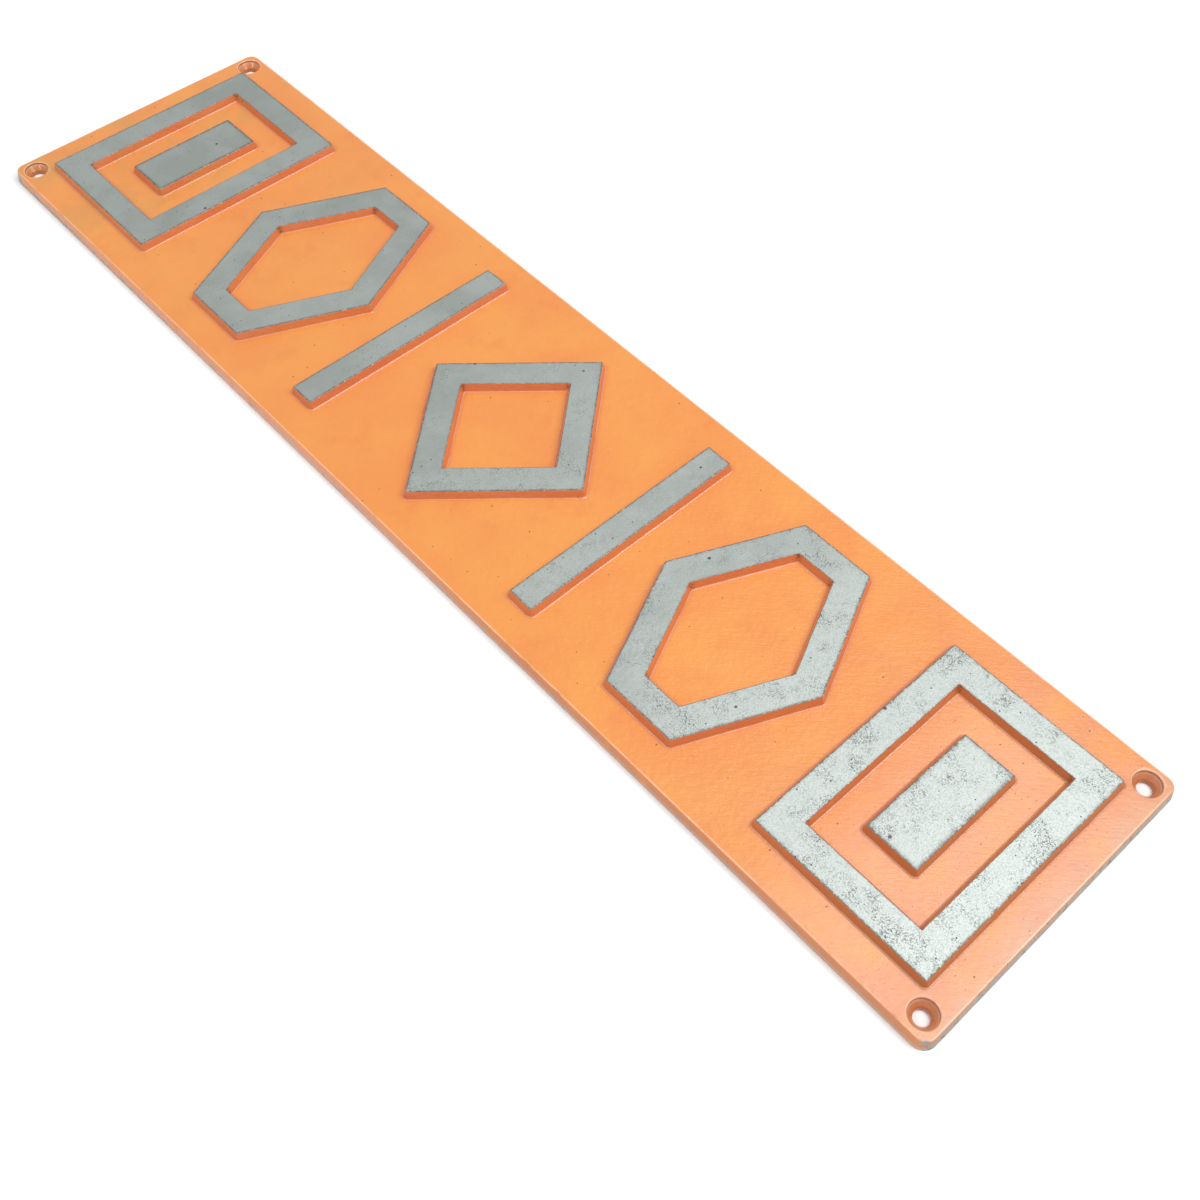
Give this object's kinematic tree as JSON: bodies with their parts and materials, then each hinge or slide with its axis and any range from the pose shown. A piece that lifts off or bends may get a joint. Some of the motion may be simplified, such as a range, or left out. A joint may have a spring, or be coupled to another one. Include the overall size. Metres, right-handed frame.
{
  "type": "cast sign plate",
  "caption": "Long painted cast plate with a symmetrical row of raised bare-faced geometric figures and a countersunk screw hole in each corner.",
  "frame": {"origin": "centre of the flat back face", "axes": "+X along the plate's length, +Y across its width, +Z out of the front face"},
  "size_m": [0.612, 0.15, 0.0092],
  "materials": {
    "painted_ground": "worn orange gloss enamel over cast aluminium alloy, chipped at a corner and along the lower edges",
    "ground_relief": "faces ground flat to bare speckled metal, side walls painted like the plate"
  },
  "bodies": {
    "root": {"base_plate": "painted_ground", "left_frame": "ground_relief", "left_block": "ground_relief", "left_hexagon": "ground_relief", "left_bar": "ground_relief", "centre_diamond": "ground_relief", "right_bar": "ground_relief", "right_hexagon": "ground_relief", "right_block": "ground_relief", "right_frame": "ground_relief"}
  },
  "joints": []
}
